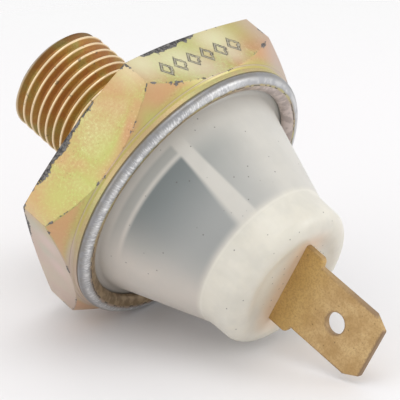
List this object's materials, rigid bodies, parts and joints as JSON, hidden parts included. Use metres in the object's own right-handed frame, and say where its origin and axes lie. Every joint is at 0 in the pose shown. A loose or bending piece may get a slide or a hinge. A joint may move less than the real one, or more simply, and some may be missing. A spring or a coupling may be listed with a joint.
{
  "type": "pressure switch",
  "caption": "Screw-in oil pressure switch: hexagon steel body with pipe thread, crimped translucent plastic housing and a flat blade terminal.",
  "frame": {"origin": "on the thread axis, in the plane of the hexagon face that meets the thread", "axes": "+X along the axis from the thread towards the blade terminal, +Z out of the middle of a hexagon flat, +Y through a hexagon corner"},
  "size_m": [0.037, 0.0274, 0.0238],
  "materials": {
    "zinc_steel": "yellow zinc chromate plating, satin, iridescent, worn to grey on the crimped lip and chipped along edges",
    "seal_rubber": "matt",
    "film": "amber polyimide film",
    "bare_steel": "turned",
    "insulator": "moulded",
    "contact_brass": "stamped",
    "contact_silver": "satin silver",
    "spring_steel": "drawn wire",
    "terminal_brass": "aged, mottled",
    "nylon": "natural nylon, translucent, smooth"
  },
  "bodies": {
    "switch_body": {"hex_body": "zinc_steel", "gasket": "seal_rubber", "diaphragm": "film", "earth_ring": "bare_steel", "spring": "spring_steel", "spring_seat": "contact_brass", "terminal_rivet": "contact_brass", "terminal_blade": "terminal_brass", "housing": "nylon", "housing_seal": "seal_rubber"},
    "contact_group": {"pressure_plate": "bare_steel", "plunger": "insulator", "contact_disc": "contact_brass", "contact_point_1": "contact_silver", "contact_point_2": "contact_silver", "contact_point_3": "contact_silver"}
  },
  "joints": [
    {"name": "plunger_slide", "type": "slide", "parent": "switch_body", "child": "contact_group", "axis": [1, 0, 0], "range_m": [0, 0.0008], "stiffness_N_per_m": 1500, "springref_m": -0.0029, "deforming": ["spring", "diaphragm"]}
  ]
}
